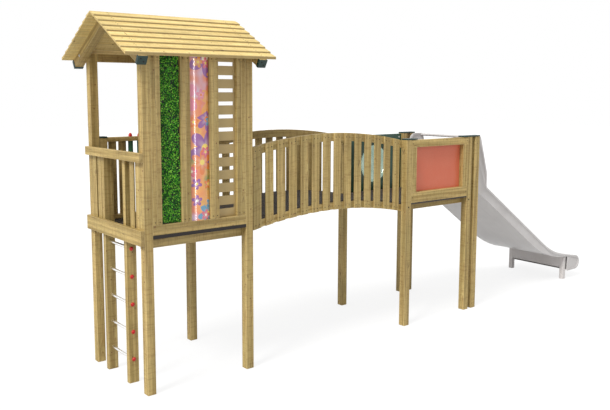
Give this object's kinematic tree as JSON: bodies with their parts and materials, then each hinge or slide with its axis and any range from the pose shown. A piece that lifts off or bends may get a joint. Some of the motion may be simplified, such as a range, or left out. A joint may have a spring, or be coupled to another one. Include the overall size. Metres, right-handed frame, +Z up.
{
  "type": "play tower",
  "caption": "Timber play tower with a roofed tall tower and ladder, an arched bridge, a low tower and a wide straight slide.",
  "frame": {"origin": "on the ground, in the middle of the whole object's length and depth", "axes": "+X from the ladder side through the bridge to the slide, +Y from the panelled front to the back, +Z up"},
  "size_m": [8.5147, 1.644, 3.9728],
  "materials": {
    "pine": "planed, pressure-treated softwood, lightly weathered",
    "roof_board": "sawn, pale new boards",
    "dark_board": "rough, slip-resistant",
    "green_plastic": "moulded, satin",
    "green_panel": "sheet, satin",
    "green_tube": "powder-coated, satin",
    "rung_steel": "brushed, with coloured end caps",
    "grass": "artificial turf",
    "printed_sheet": "glossy printed sheet",
    "coral_sheet": "sheet, satin",
    "clear_sheet": "clear formed dome",
    "slide_grey": "satin, light grey"
  },
  "bodies": {
    "tower": {"tall_post_front_left": "pine", "tall_post_front_right": "pine", "tall_post_back_left": "pine", "tall_post_back_right": "pine", "tower_bearer_front": "pine", "tower_bearer_back": "pine", "entry_beam": "pine", "entry_handrail": "pine", "entry_slats_front": "pine", "entry_slats_back": "pine", "ladder_stringer_front": "pine", "ladder_stringer_back": "pine", "wall_frame": "pine", "slotted_panel": "pine", "barrier_frame": "pine", "barrier_newel": "pine", "eave_header_back": "pine", "gable_truss_left": "pine", "gable_truss_right": "pine", "bridge_panel_front": "pine", "bridge_panel_back": "pine", "low_post_front_bridge": "pine", "low_post_front_inner": "pine", "low_post_front_outer": "pine", "low_post_back_bridge": "pine", "low_post_back_inner": "pine", "low_post_back_outer": "pine", "low_bearer_front": "pine", "low_bearer_back": "pine", "coral_panel_frame": "pine", "roof_slope_front": "roof_board", "roof_slope_back": "roof_board", "tower_deck": "dark_board", "bridge_deck": "dark_board", "low_deck": "dark_board", "barrier_newel_cap": "green_plastic", "low_cap_front_bridge": "green_plastic", "low_cap_front_slide": "green_plastic", "low_cap_back_bridge": "green_plastic", "low_cap_back_slide": "green_plastic", "rafter_cap_front_left": "green_plastic", "rafter_cap_front_right": "green_plastic", "rafter_cap_back_left": "green_plastic", "rafter_cap_back_right": "green_plastic", "window_panel": "green_panel", "ladder_rung_1": "rung_steel", "ladder_rung_2": "rung_steel", "ladder_rung_3": "rung_steel", "ladder_rung_4": "rung_steel", "ladder_rung_5": "rung_steel", "grass_panel": "grass", "print_column": "printed_sheet", "coral_panel": "coral_sheet", "bubble_window": "clear_sheet", "slide_chute": "slide_grey", "slide_leg_frame": "slide_grey"},
    "roller_1": {"roller_1": "green_tube"},
    "roller_2": {"roller_2": "green_tube"},
    "roller_3": {"roller_3": "green_tube"},
    "roller_4": {"roller_4": "green_tube"}
  },
  "joints": [
    {"name": "roller_1_turn", "type": "hinge", "parent": "tower", "child": "roller_1", "pos_m": [-3.5294, 0.624, 2.15], "axis": [0, 0, 1], "continuous": true},
    {"name": "roller_2_turn", "type": "hinge", "parent": "tower", "child": "roller_2", "pos_m": [-3.4144, 0.624, 2.15], "axis": [0, 0, 1], "continuous": true},
    {"name": "roller_3_turn", "type": "hinge", "parent": "tower", "child": "roller_3", "pos_m": [-3.2994, 0.624, 2.15], "axis": [0, 0, 1], "continuous": true},
    {"name": "roller_4_turn", "type": "hinge", "parent": "tower", "child": "roller_4", "pos_m": [-3.1844, 0.624, 2.15], "axis": [0, 0, 1], "continuous": true}
  ]
}
